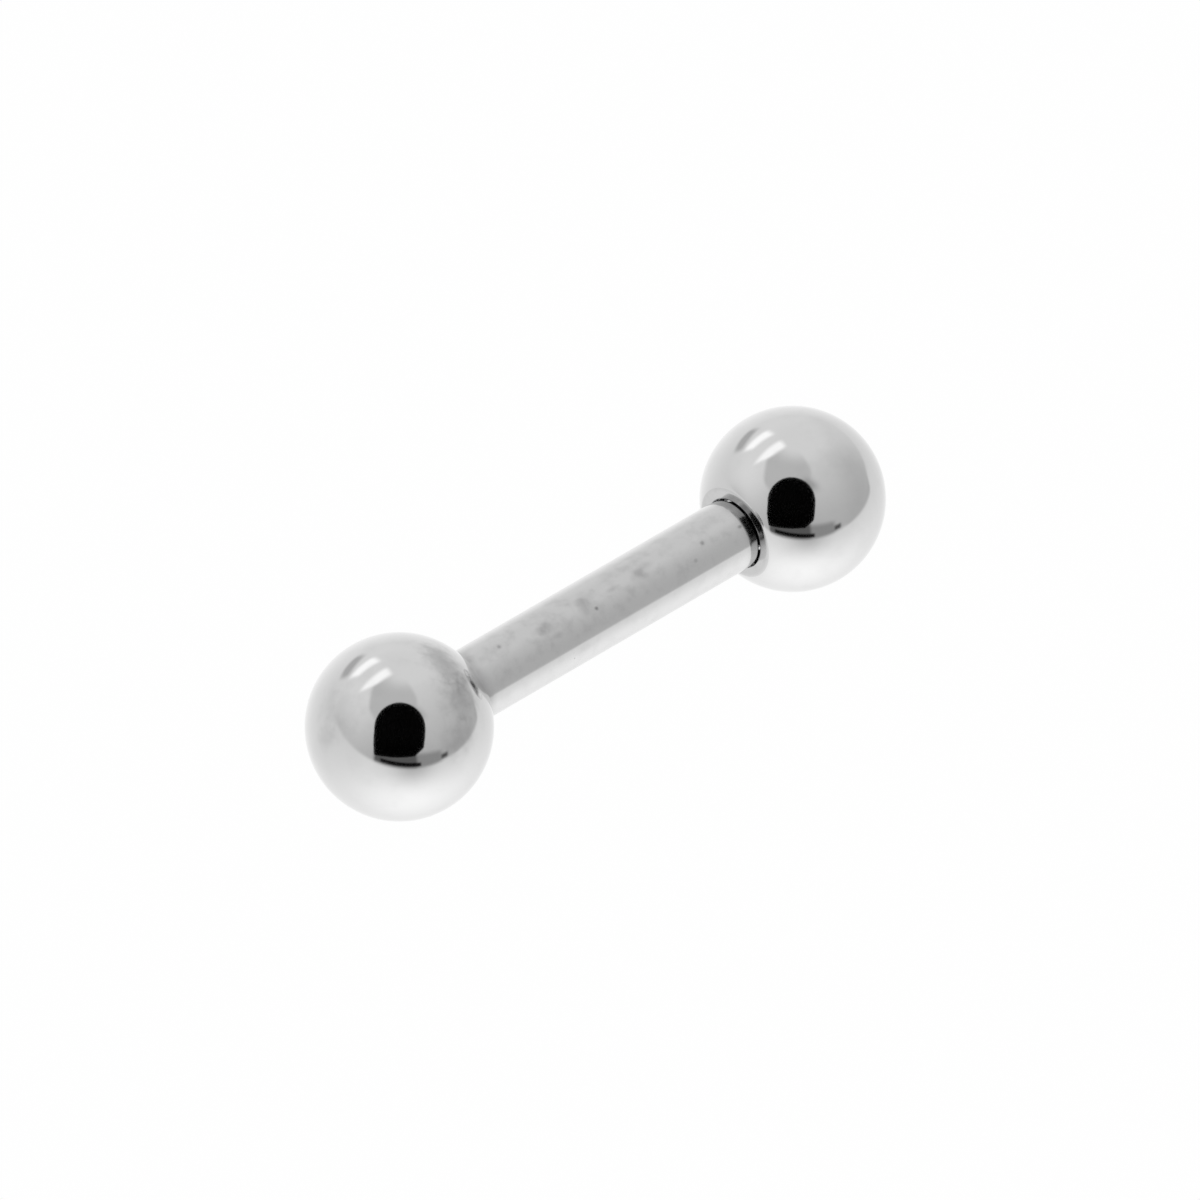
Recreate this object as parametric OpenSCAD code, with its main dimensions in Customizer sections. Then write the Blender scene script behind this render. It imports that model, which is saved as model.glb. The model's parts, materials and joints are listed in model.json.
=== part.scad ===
// Straight barbell for a helix piercing: a polished bar with a threaded stud at each end,
// and a ball screwed onto each stud.
// The bar lies along X with its middle at the origin, and the balls rest on z = -ball_d / 2.
// Millimetres, +Z up.

/* [Bar] */
// Diameter of the bar, 16 gauge
bar_d = 1.2; // [1.0:0.1:1.6]
// Wearable length, from the seat of one ball to the seat of the other
wear_l = 6.0; // [5:0.5:16]
// Width of the small chamfer round each end of the bar
bar_chamfer = 0.015; // [0.010:0.005:0.020]

/* [Balls] */
// Diameter of each ball
ball_d = 3.0; // [3:0.5:5]
// Width of the flat land that the seat leaves on the ball, all round the bar
seat_land = 0.18; // [0.10:0.02:0.30]
// Gap between the end of the bar and the ball's seat
seat_gap = 0.01; // [0.01:0.01:0.03]

/* [Thread] */
// Pitch of the thread on each stud
thread_pitch = 0.25; // [0.20:0.05:0.35]
// How far the crests of the thread lie inside the surface of the bar
thread_relief = 0.04; // [0.04:0.01:0.06]
// Length of each stud, from the end of the bar to its tip
stud_l = 1.5; // [1.0:0.1:1.5]
// Radial play between the crests of the thread and the wall of the ball's hole
hole_play = 0.015; // [0.010:0.005:0.020]
// How much deeper the ball's hole is than the stud is long
hole_spare = 0.4; // [0.2:0.1:0.4]

/* [Hidden] */
$fn = 96;

bar_r = bar_d / 2;
bar_half = wear_l / 2 - seat_gap;

ball_r = ball_d / 2;
seat_r = bar_r + seat_land;
// Distance from the flat seat to the centre of the ball
seat_depth = sqrt(ball_r * ball_r - seat_r * seat_r);

// A 60 degree thread with an eighth of the pitch flat at the crest and a quarter at the root
FLANK_ANGLE = 30;
FLANK_SHARE = 5 / 16;
crest_r = bar_r - thread_relief;
thread_depth = FLANK_SHARE * thread_pitch / tan(FLANK_ANGLE);
root_r = crest_r - thread_depth;

// Corners of one pitch of the thread, in order along the stud.
// Columns: distance along in pitches, height above the root as a share of the depth.
THREAD_CORNERS = [
    [0, 0],
    [1 / 4, 0],
    [1 / 4 + FLANK_SHARE, 1],
    [3 / 8 + FLANK_SHARE, 1],
];
THREAD_SIDES = 24;
// How far the threaded solid reaches back into the bar, in pitches
THREAD_OVERLAP = 1.5;

hole_r = crest_r + hole_play;
hole_l = stud_l + hole_spare;
// A drill with a 120 degree point leaves this cone at the bottom of the hole
drill_point_l = hole_r * tan(30);
// A shape that is cut away starts or ends this far outside the metal
CUT_MARGIN = 1;

// Height of corner j of the thread at side i, measured from the end of the bar
function thread_z(j, i) =
    let (corners = len(THREAD_CORNERS))
    thread_pitch * (floor(j / corners) + THREAD_CORNERS[j % corners][0]
        + i / THREAD_SIDES - THREAD_OVERLAP);

// Radius of corner j at height z: the outline of the thread under a 45 degree lead-in at the tip
function thread_r(j, z) =
    let (height = THREAD_CORNERS[j % len(THREAD_CORNERS)][1])
    root_r + min(height * thread_depth, max(0, stud_l - z));

// A right-hand thread along +Z, wound on a grid that follows the helix. Its first end lies
// inside the bar, and its last end runs past the tip, where the stud is cut flat.
module thread_blank() {
    corners = len(THREAD_CORNERS);
    turns = ceil(stud_l / thread_pitch + THREAD_OVERLAP) + 1;
    rows = corners * turns;
    last = THREAD_SIDES - 1;

    surface = [
        for (j = [0 : rows], i = [0 : last])
            let (z = thread_z(j, i), r = thread_r(j, z), a = 360 * i / THREAD_SIDES)
            [r * cos(a), r * sin(a), z]
    ];
    first_centre = [0, 0, thread_z(0, 0)];
    last_centre = [0, 0, thread_z(rows, last)];
    at = function (j, i) j * THREAD_SIDES + i;
    first = len(surface);

    // The sides wind on, and side 0 takes up one turn further along
    sides = [
        for (j = [0 : rows - 1], i = [0 : last - 1])
            each [[at(j, i), at(j + 1, i), at(j, i + 1)],
                  [at(j, i + 1), at(j + 1, i), at(j + 1, i + 1)]]
    ];
    seam = [
        for (j = [0 : rows - corners - 1])
            each [[at(j, last), at(j + 1, last), at(j + corners, 0)],
                  [at(j + corners, 0), at(j + 1, last), at(j + corners + 1, 0)]]
    ];
    first_rim = [
        for (i = [0 : last]) at(0, i),
        for (j = [corners : -1 : 1]) at(j, 0)
    ];
    last_rim = [
        for (i = [0 : last]) at(rows, i),
        for (j = [rows - 1 : -1 : rows - corners]) at(j, last)
    ];
    first_end = [
        for (k = [0 : len(first_rim) - 1])
            [first, first_rim[k], first_rim[(k + 1) % len(first_rim)]]
    ];
    last_end = [
        for (k = [0 : len(last_rim) - 1])
            [first + 1, last_rim[(k + 1) % len(last_rim)], last_rim[k]]
    ];
    polyhedron(
        points = concat(surface, [first_centre, last_centre]),
        faces = concat(sides, seam, first_end, last_end)
    );
}

// The threaded stud along +Z, cut flat at its tip
module stud() {
    difference() {
        thread_blank();
        translate([0, 0, stud_l]) cylinder(r = bar_r, h = CUT_MARGIN);
    }
}

// The polished bar along X, with a chamfered end against each ball
module polished_bar() {
    rotate([0, 90, 0]) rotate_extrude() polygon([
        [0, -bar_half],
        [bar_r - bar_chamfer, -bar_half],
        [bar_r, -bar_half + bar_chamfer],
        [bar_r, bar_half - bar_chamfer],
        [bar_r - bar_chamfer, bar_half],
        [0, bar_half],
    ]);
}

// The blind hole of a ball, along +Z from its seat at z = 0
module ball_hole() {
    translate([0, 0, -CUT_MARGIN]) cylinder(r = hole_r, h = hole_l + CUT_MARGIN);
    translate([0, 0, hole_l]) cylinder(r1 = hole_r, r2 = 0, h = drill_point_l);
}

// A ball with its flat seat at z = 0 and its far side towards +Z
module seated_ball() {
    difference() {
        translate([0, 0, seat_depth]) sphere(r = ball_r);
        translate([0, 0, -ball_r]) cylinder(r = ball_r, h = ball_r);
        ball_hole();
    }
}

module bar() {
    color("silver") union() {
        polished_bar();
        for (turn = [-90, 90])
            rotate([0, turn, 0]) translate([0, 0, bar_half]) stud();
    }
}

// A ball on its end of the bar: no turn for the left one, half a turn about +Z for the right one.
// The seam of the sphere faces up, so the hulls that the part rests on are even underneath.
module ball_at(turn) {
    color("gainsboro")
        rotate([0, 0, turn]) translate([-wear_l / 2, 0, 0]) rotate([0, -90, 0]) seated_ball();
}

module left_ball() {
    ball_at(0);
}

module right_ball() {
    ball_at(180);
}

bar();
left_ball();
right_ball();
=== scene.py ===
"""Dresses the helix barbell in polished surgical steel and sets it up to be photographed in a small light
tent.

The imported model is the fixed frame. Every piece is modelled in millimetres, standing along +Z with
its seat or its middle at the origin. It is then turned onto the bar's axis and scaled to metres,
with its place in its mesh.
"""
import json
import logging
import math
from dataclasses import dataclass
from enum import Enum
from itertools import accumulate
from typing import Any, Callable

import bmesh
import bpy
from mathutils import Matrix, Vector


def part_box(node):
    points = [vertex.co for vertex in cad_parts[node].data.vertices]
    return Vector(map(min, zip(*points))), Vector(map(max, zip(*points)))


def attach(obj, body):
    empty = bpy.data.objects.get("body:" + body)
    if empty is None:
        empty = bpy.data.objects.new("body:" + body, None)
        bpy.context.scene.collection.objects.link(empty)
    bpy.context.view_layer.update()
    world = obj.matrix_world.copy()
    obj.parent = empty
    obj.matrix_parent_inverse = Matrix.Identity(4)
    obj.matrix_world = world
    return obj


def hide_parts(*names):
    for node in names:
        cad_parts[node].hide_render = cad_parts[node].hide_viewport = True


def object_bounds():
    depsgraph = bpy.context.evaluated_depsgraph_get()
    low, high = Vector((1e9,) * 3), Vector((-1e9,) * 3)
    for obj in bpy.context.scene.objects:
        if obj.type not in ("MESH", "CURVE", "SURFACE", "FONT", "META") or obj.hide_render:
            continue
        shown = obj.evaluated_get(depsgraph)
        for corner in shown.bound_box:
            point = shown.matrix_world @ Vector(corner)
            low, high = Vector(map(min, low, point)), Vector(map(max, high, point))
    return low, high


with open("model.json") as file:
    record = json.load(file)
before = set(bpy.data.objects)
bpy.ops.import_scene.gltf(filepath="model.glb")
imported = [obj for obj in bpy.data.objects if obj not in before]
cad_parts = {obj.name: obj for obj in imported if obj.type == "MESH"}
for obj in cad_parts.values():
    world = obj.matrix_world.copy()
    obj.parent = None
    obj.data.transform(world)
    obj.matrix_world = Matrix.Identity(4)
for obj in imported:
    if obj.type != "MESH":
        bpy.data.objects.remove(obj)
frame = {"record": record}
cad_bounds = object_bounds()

LOG = logging.getLogger("helix_barbell")

MM = 0.001
MICRON = 1e-6
# Two places nearer to each other than this, in millimetres, are the same place
NEAR = 1e-4
# Edges shorter than this, in millimetres, are dissolved where two solids have been joined
SLIVER = 2e-3
# Faces that meet at less than this angle are shaded as one smooth surface
SMOOTH_ANGLE = math.radians(28)
# A face whose normal has more than this share along the axis lies flat across it
FLAT = 0.99
# Sides of the floor and of the lens card before it is cut
ROUND_SIDES = 96

# The flats and flanks of a 60 degree thread, as shares of its pitch
ROOT_SHARE = 1 / 4
CREST_SHARE = 1 / 8
FLANK_SHARE = 5 / 16
FLANK_ANGLE = math.radians(30)
# Steps in one turn of a thread
THREAD_STEPS = 48
# A drill with a 120 degree point leaves a cone that rises at this angle
DRILL_ANGLE = math.radians(30)

# How much rougher full dirt and painted shade make the steel
DULLING = 0.08
ORIGIN = (0.0, 0.0, 0.0)
UP = (0.0, 0.0, 1.0)
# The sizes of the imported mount, which is the bar without the rounding at each end
EAR_BAR = frame["record"]["mounts"][0]["dims"]

Socket = Any
Grey = tuple[float, float, float]
Place = tuple[float, float, float]
PlaceTest = Callable[[Vector, Vector], bool]


class End(Enum):
    """The two ends of the bar, by the sign of their side of X."""

    LEFT = -1
    RIGHT = 1

    @property
    def ball(self) -> str:
        """The name of the node and the body of the ball at this end."""
        return f"{self.name.lower()}_ball"


class Pick(Enum):
    """What an edit-mode operator acts on, by Blender's own name for it."""

    CORNERS = "VERT"
    EDGES = "EDGE"
    FACES = "FACE"


class Joining(Enum):
    """How two solids are joined, by Blender's own name for it."""

    UNION = "UNION"
    CUT = "DIFFERENCE"
    COMMON = "INTERSECT"


class Workpiece:
    """A mesh on the bench, shaped in edit mode in millimetres along +Z."""

    def __init__(self, name: str) -> None:
        """Takes the primitive that was just added and opens it in edit mode.

        Args:
            name: The name of the object and its mesh.
        """
        self.item = bpy.context.object
        self.item.name = name
        self.item.data.name = name
        self.open()

    @staticmethod
    def clear_bench() -> None:
        """Leaves edit mode and deselects every object."""
        if bpy.context.object and bpy.context.object.mode != "OBJECT":
            bpy.ops.object.mode_set(mode="OBJECT")
        bpy.ops.object.select_all(action="DESELECT")

    @classmethod
    def sphere(cls, name: str, radius: float, sides: int, rings: int) -> "Workpiece":
        """Adds a sphere with its poles on Z.

        Args:
            name: The piece's name.
            radius: Its radius.
            sides: Faces round the axis.
            rings: Rings of faces from pole to pole.

        Returns:
            The sphere, open in edit mode with everything selected.
        """
        cls.clear_bench()
        bpy.ops.mesh.primitive_uv_sphere_add(segments=sides, ring_count=rings, radius=radius)
        return cls(name)

    @classmethod
    def cylinder(cls, name: str, radius: float, bottom: float, top: float, sides: int) -> "Workpiece":
        """Adds a closed cylinder along Z.

        Args:
            name: The piece's name.
            radius: Its radius.
            bottom: The height of its lower end.
            top: The height of its upper end.
            sides: Faces round the axis.

        Returns:
            The cylinder, open in edit mode with everything selected.
        """
        cls.clear_bench()
        bpy.ops.mesh.primitive_cylinder_add(vertices=sides, radius=radius, depth=top - bottom)
        piece = cls(name)
        piece.move((0, 0, (top + bottom) / 2))
        return piece

    @classmethod
    def outline(cls, name: str, points: list[tuple[float, float]]) -> "Workpiece":
        """Draws an open outline in the XZ plane, extruded corner by corner.

        Args:
            name: The piece's name.
            points: Radius and height of each corner, in order.

        Returns:
            The outline, open in edit mode.
        """
        cls.clear_bench()
        bpy.ops.mesh.primitive_plane_add(size=1)
        piece = cls(name)
        bpy.ops.mesh.merge(type="CENTER")
        piece.move((points[0][0], 0, points[0][1]))
        for (r0, z0), (r1, z1) in zip(points, points[1:]):
            step = (r1 - r0, 0, z1 - z0)
            bpy.ops.mesh.extrude_vertices_move(TRANSFORM_OT_translate={"value": step})
        return piece

    def open(self) -> None:
        """Opens the piece in edit mode with every corner selected, whatever was picked before."""
        self.clear_bench()
        bpy.context.view_layer.objects.active = self.item
        self.item.select_set(True)
        bpy.ops.object.mode_set(mode="EDIT")
        bpy.ops.mesh.select_mode(type=Pick.CORNERS.value)
        bpy.ops.mesh.select_all(action="SELECT")

    def close(self) -> None:
        """Leaves edit mode with only this piece selected."""
        self.clear_bench()
        self.item.select_set(True)
        bpy.context.view_layer.objects.active = self.item

    def pick(self, what: Pick, test: PlaceTest) -> None:
        """Selects only the corners, edges or faces that pass a test.

        Args:
            what: Corners, edges or faces.
            test: Takes the middle and the normal of each.

        Raises:
            ValueError: If nothing passes.
        """
        bpy.ops.mesh.select_mode(type=what.value)
        bpy.ops.mesh.select_all(action="DESELECT")
        mesh = bmesh.from_edit_mesh(self.item.data)
        mesh.normal_update()
        found = 0
        parts = {Pick.CORNERS: mesh.verts, Pick.EDGES: mesh.edges, Pick.FACES: mesh.faces}[what]
        for part in parts:
            corners = [part] if what is Pick.CORNERS else part.verts
            middle = sum((v.co for v in corners), Vector()) / len(corners)
            normal = part.normal if what is Pick.FACES else sum((v.normal for v in corners), Vector())
            if test(middle, normal):
                part.select_set(True)
                found += 1
        bmesh.update_edit_mesh(self.item.data)
        if not found:
            raise ValueError(f"nothing on {self.item.name} passes the test")

    def reach(self) -> float:
        """Returns how far from the axis the furthest selected corner is."""
        mesh = bmesh.from_edit_mesh(self.item.data)
        return max(corner.co.xy.length for corner in mesh.verts if corner.select)

    def move(self, by: tuple[float, float, float]) -> None:
        """Moves what is selected."""
        bpy.ops.transform.translate(value=by)

    def scale_round(self, ratio: float, height: float) -> None:
        """Scales what is selected about the axis, at one height."""
        bpy.ops.transform.resize(value=(ratio, ratio, 1), center_override=(0, 0, height))

    def extrude(self, rise: float) -> None:
        """Extrudes the selected faces along Z."""
        bpy.ops.mesh.extrude_region_move(TRANSFORM_OT_translate={"value": (0, 0, rise)})

    def inset(self, width: float) -> None:
        """Insets the selected faces."""
        bpy.ops.mesh.inset(thickness=width)

    def bevel(self, width: float, steps: int) -> None:
        """Rounds the selected edges."""
        bpy.ops.mesh.bevel(offset=width, segments=steps, profile=0.5, affect="EDGES")

    def bisect(self, height: float, **settings: bool) -> None:
        """Cuts the whole piece across its axis.

        Args:
            height: Where it is cut.
            **settings: Whether the cut is filled, and which side of it is cleared.
        """
        bpy.ops.mesh.select_mode(type=Pick.FACES.value)
        bpy.ops.mesh.select_all(action="SELECT")
        bpy.ops.mesh.bisect(plane_co=(0, 0, height), plane_no=(0, 0, 1), threshold=NEAR, **settings)

    def cut_flat(self, height: float, keep_above: bool) -> None:
        """Cuts off what is below or above a height and closes the cut."""
        self.bisect(height, use_fill=True, clear_inner=keep_above, clear_outer=not keep_above)

    def ring_at(self, height: float) -> None:
        """Adds a ring of edges across the axis, which holds the shading on both sides of it."""
        self.bisect(height)

    def wind(self, pitch: float, turns: int, steps: int) -> None:
        """Winds an outline into a right-hand thread round Z.

        Args:
            pitch: The rise of one turn.
            turns: How many turns.
            steps: Steps in one turn.
        """
        self.close()
        screw = self.item.modifiers.new("Thread", "SCREW")
        screw.axis = "Z"
        screw.angle = math.tau
        screw.screw_offset = pitch
        screw.iterations = turns
        screw.steps = steps
        screw.render_steps = steps
        screw.use_merge_vertices = True
        screw.merge_threshold = NEAR
        bpy.ops.object.modifier_apply(modifier=screw.name)
        self.open()
        bpy.ops.mesh.remove_doubles(threshold=NEAR)

    def cap(self) -> None:
        """Closes every open rim and turns the faces outwards."""
        bpy.ops.mesh.select_all(action="SELECT")
        bpy.ops.mesh.fill_holes(sides=0)
        bpy.ops.mesh.select_all(action="SELECT")
        bpy.ops.mesh.normals_make_consistent(inside=False)

    def join(self, other: "Workpiece", how: Joining) -> None:
        """Joins another solid into this one and uses it up.

        Args:
            other: The solid that is added, taken away or shared.
            how: Which of the three.

        Raises:
            ValueError: If either solid is open, or the two don't meet.
        """
        other.check_closed()
        self.check_closed()
        other.close()
        self.close()
        faces = len(self.item.data.polygons)
        boolean = self.item.modifiers.new(how.name.title(), "BOOLEAN")
        boolean.operation = how.value
        boolean.solver = "EXACT"
        boolean.object = other.item
        bpy.ops.object.modifier_apply(modifier=boolean.name)
        if len(self.item.data.polygons) in (0, faces):
            raise ValueError(f"{other.item.name} changes nothing on {self.item.name}")
        bpy.data.objects.remove(other.item)
        self.open()
        bpy.ops.mesh.dissolve_degenerate(threshold=SLIVER)

    def check_closed(self) -> None:
        """Raises a ValueError if the piece is empty or has an edge without a face on each side."""
        self.open()
        mesh = bmesh.from_edit_mesh(self.item.data)
        if not mesh.faces or any(len(edge.link_faces) != 2 for edge in mesh.edges):
            raise ValueError(f"{self.item.name} isn't closed")

    def copy_turned(self, name: str, turn: float) -> "Workpiece":
        """Copies the piece with its own mesh and turns the copy about Y.

        Args:
            name: The copy's name.
            turn: The angle in radians.

        Returns:
            The copy, open in edit mode.
        """
        self.close()
        bpy.ops.object.duplicate()
        bpy.context.object.rotation_euler = (0, turn, 0)
        bpy.ops.object.transform_apply(location=False, rotation=True, scale=False)
        return Workpiece(name)

    def lay_on_axis(self, end: End, seat: float) -> bpy.types.Object:
        """Turns +Z outwards along the bar, scales to metres and puts the place into the mesh.

        Args:
            end: The end of the bar that +Z points to.
            seat: Where the piece's origin comes on X, in metres.

        Returns:
            The finished object, which sits at the origin.
        """
        self.check_closed()
        self.close()
        bpy.ops.object.shade_smooth_by_angle(angle=SMOOTH_ANGLE)
        self.item.rotation_euler = (0, end.value * math.pi / 2, 0)
        self.item.scale = (MM, MM, MM)
        self.item.location = (seat, 0, 0)
        bpy.ops.object.transform_apply(location=True, rotation=True, scale=True)
        return self.item


class Net:
    """A node tree that is being wired."""

    def __init__(self, tree: bpy.types.NodeTree) -> None:
        """Takes an empty tree."""
        self.tree = tree
        self.column = 0

    @classmethod
    def group(cls, name: str, output: str, **inputs: Any) -> tuple["Net", Socket, Socket]:
        """Starts a node group that works out one number.

        Args:
            name: The group's name.
            output: The name of the number that it puts out.
            **inputs: The default of each input: a number, or a tuple for a vector.

        Returns:
            The net, the sockets that feed it and the socket that it feeds.
        """
        tree = bpy.data.node_groups.new(name, "ShaderNodeTree")
        for label, default in inputs.items():
            kind = "NodeSocketVector" if isinstance(default, tuple) else "NodeSocketFloat"
            socket = tree.interface.new_socket(name=label, in_out="INPUT", socket_type=kind)
            socket.default_value = default
        tree.interface.new_socket(name=output, in_out="OUTPUT", socket_type="NodeSocketFloat")
        net = cls(tree)
        return net, net.add("NodeGroupInput").outputs, net.add("NodeGroupOutput").inputs[output]

    @classmethod
    def shader(cls, owner: bpy.types.Material | bpy.types.World) -> "Net":
        """Empties the net of a new material or world.

        Args:
            owner: The material or the world.

        Returns:
            Its net.
        """
        owner.use_nodes = True
        owner.node_tree.nodes.clear()
        return cls(owner.node_tree)

    def put_out(self, kind: str, surface: Socket) -> None:
        """Makes a shader the surface of the material or the world."""
        self.feed(self.add(f"ShaderNodeOutput{kind}").inputs["Surface"], surface)

    def add(self, kind: str, **settings: Any) -> bpy.types.Node:
        """Adds a node to the right of the last one.

        Args:
            kind: The node's type.
            **settings: Properties to set on it.

        Returns:
            The node.
        """
        node = self.tree.nodes.new(kind)
        node.location = (self.column, -60 * (len(self.tree.nodes) % 5))
        self.column += 170
        for key, value in settings.items():
            setattr(node, key, value)
        return node

    def feed(self, socket: Socket, source: Any) -> None:
        """Links a socket to another one, or sets its own value.

        Args:
            socket: The socket that is fed.
            source: The other socket, or the value.
        """
        if isinstance(source, bpy.types.NodeSocket):
            self.tree.links.new(source, socket)
        else:
            socket.default_value = source

    def feed_in_order(self, node: bpy.types.Node, *sources: Any) -> Any:
        """Feeds a node's inputs from the first one on.

        Args:
            node: The node.
            *sources: What feeds each input.

        Returns:
            The sockets that the node puts out.
        """
        for socket, source in zip(node.inputs, sources):
            self.feed(socket, source)
        return node.outputs

    def feed_by_name(self, node: bpy.types.Node, sources: dict[str, Any]) -> Any:
        """Feeds the named inputs of a node.

        Args:
            node: The node.
            sources: What feeds each input, by the input's name.

        Returns:
            The sockets that the node puts out.
        """
        for label, source in sources.items():
            self.feed(node.inputs[label], source)
        return node.outputs

    def use(self, group: bpy.types.NodeTree, **inputs: Any) -> Socket:
        """Places a node group, feeds its inputs by name and returns what it puts out."""
        return self.feed_by_name(self.add("ShaderNodeGroup", node_tree=group), inputs)[0]

    def math(self, operation: str, *terms: Any, clamp: bool = False) -> Socket:
        """Adds a sum on numbers and returns its result."""
        node = self.add("ShaderNodeMath", operation=operation, use_clamp=clamp)
        return self.feed_in_order(node, *terms)[0]

    def plus(self, base: Any, part: Any, share: Any, clamp: bool = False) -> Socket:
        """Returns a base with a share of a part added to it."""
        return self.math("ADD", base, self.math("MULTIPLY", part, share), clamp=clamp)

    def vector(self, operation: str, *terms: Any) -> Socket:
        """Adds a sum on vectors and returns its result, a number for a length or a dot product."""
        outputs = self.feed_in_order(self.add("ShaderNodeVectorMath", operation=operation), *terms)
        return outputs["Value" if operation in ("DOT_PRODUCT", "LENGTH") else "Vector"]

    def combine(self, *parts: Any) -> Socket:
        """Adds a vector of the given parts and returns it."""
        return self.feed_in_order(self.add("ShaderNodeCombineXYZ"), *parts)[0]

    def ramp(self, value: Socket, start: Any, stop: Any, high: float = 1.0) -> Socket:
        """Adds a smooth step from 0 at its start to a high at its stop, and returns its result."""
        step = self.add("ShaderNodeMapRange", interpolation_type="SMOOTHSTEP")
        return self.feed_in_order(step, value, start, stop, 0.0, high)["Result"]

    def noise(self, place: Socket, scale: Any, detail: float) -> Socket:
        """Adds a noise pattern and returns its value from 0 to 1."""
        inputs = {"Vector": place, "Scale": scale, "Detail": detail}
        return self.feed_by_name(self.add("ShaderNodeTexNoise"), inputs)["Fac"]

    def either(self, share: Socket, first: Socket, second: Socket) -> Socket:
        """Mixes two shaders, with the second one where the share is 1."""
        return self.feed_in_order(self.add("ShaderNodeMixShader"), share, first, second)[0]

    def place(self) -> Socket:
        """Reads the place on the piece.

        Returns:
            The place in millimetres.
        """
        place = self.vector("SCALE", self.add("ShaderNodeTexCoord").outputs["Object"])
        place.node.inputs["Scale"].default_value = 1 / MM
        return place

    def along(self, place: Socket) -> Socket:
        """Returns how far along the bar a place is."""
        return self.vector("DOT_PRODUCT", place, (1.0, 0.0, 0.0))

    def off_axis(self, place: Socket) -> Socket:
        """Returns the vector from the bar's axis to a place."""
        return self.vector("MULTIPLY", place, (0.0, 1.0, 1.0))

    def bump(self, height: Socket, depth: float, **over: Socket) -> Socket:
        """Returns the normal of a height some micrometres deep, over another Normal if one is given."""
        inputs = {"Distance": depth * MICRON, "Height": height, **over}
        return self.feed_by_name(self.add("ShaderNodeBump"), inputs)[0]

    def metal(self, clean: Grey, dirty_and_shaded_grey: Grey, dirt_and_shade: Socket, rough: Socket, normal: Socket) -> None:
        """Makes the surface of bare metal.

        Args:
            clean: What the metal mirrors where it is clean.
            dirty_and_shaded_grey: What it mirrors where residue and painted shade are full.
            dirt_and_shade: How much residue and painted shade it has, from 0 to 1.
            rough: Its roughness.
            normal: Its normal.
        """
        colour = self.feed_by_name(
            self.add("ShaderNodeMix", data_type="RGBA"),
            {"Factor": dirt_and_shade, "A": (*clean, 1.0), "B": (*dirty_and_shaded_grey, 1.0)})["Result"]
        surface = self.feed_by_name(
            self.add("ShaderNodeBsdfPrincipled"),
            {"Metallic": 1.0, "Base Color": colour, "Roughness": rough, "Normal": normal})[0]
        self.put_out("Material", surface)


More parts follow.
